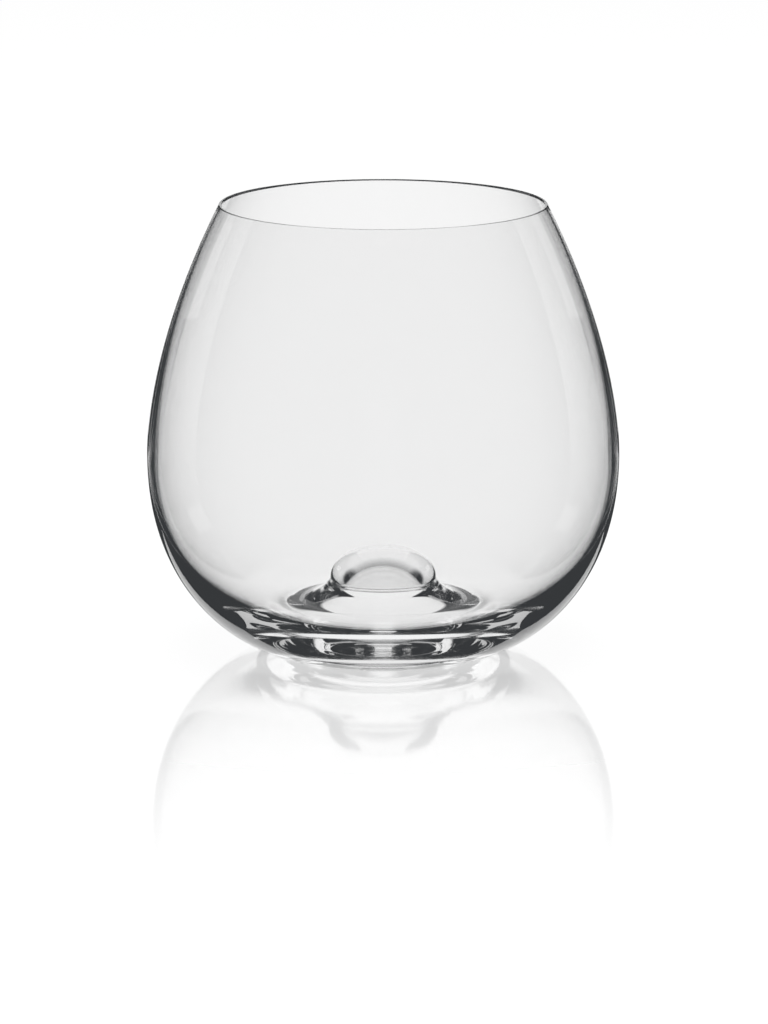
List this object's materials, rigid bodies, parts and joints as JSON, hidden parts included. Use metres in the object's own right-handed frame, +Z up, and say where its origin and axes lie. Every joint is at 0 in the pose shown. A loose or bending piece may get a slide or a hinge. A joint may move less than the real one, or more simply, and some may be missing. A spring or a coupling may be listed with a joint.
{
  "type": "double old fashioned glass",
  "caption": "Stemless egg-shaped tumbler of clear blown glass with a thin rounded rim, a heavy base and a hollow punt that rises as a dome in the bowl.",
  "frame": {"origin": "centre of the standing ring, on the table", "axes": "+Z up along the glass's axis of revolution; X and Y are alike, because the glass is round"},
  "size_m": [0.094, 0.094, 0.0896],
  "materials": {
    "clear_glass": "polished, clear and colourless"
  },
  "bodies": {
    "root": {"tumbler": "clear_glass"}
  },
  "joints": []
}
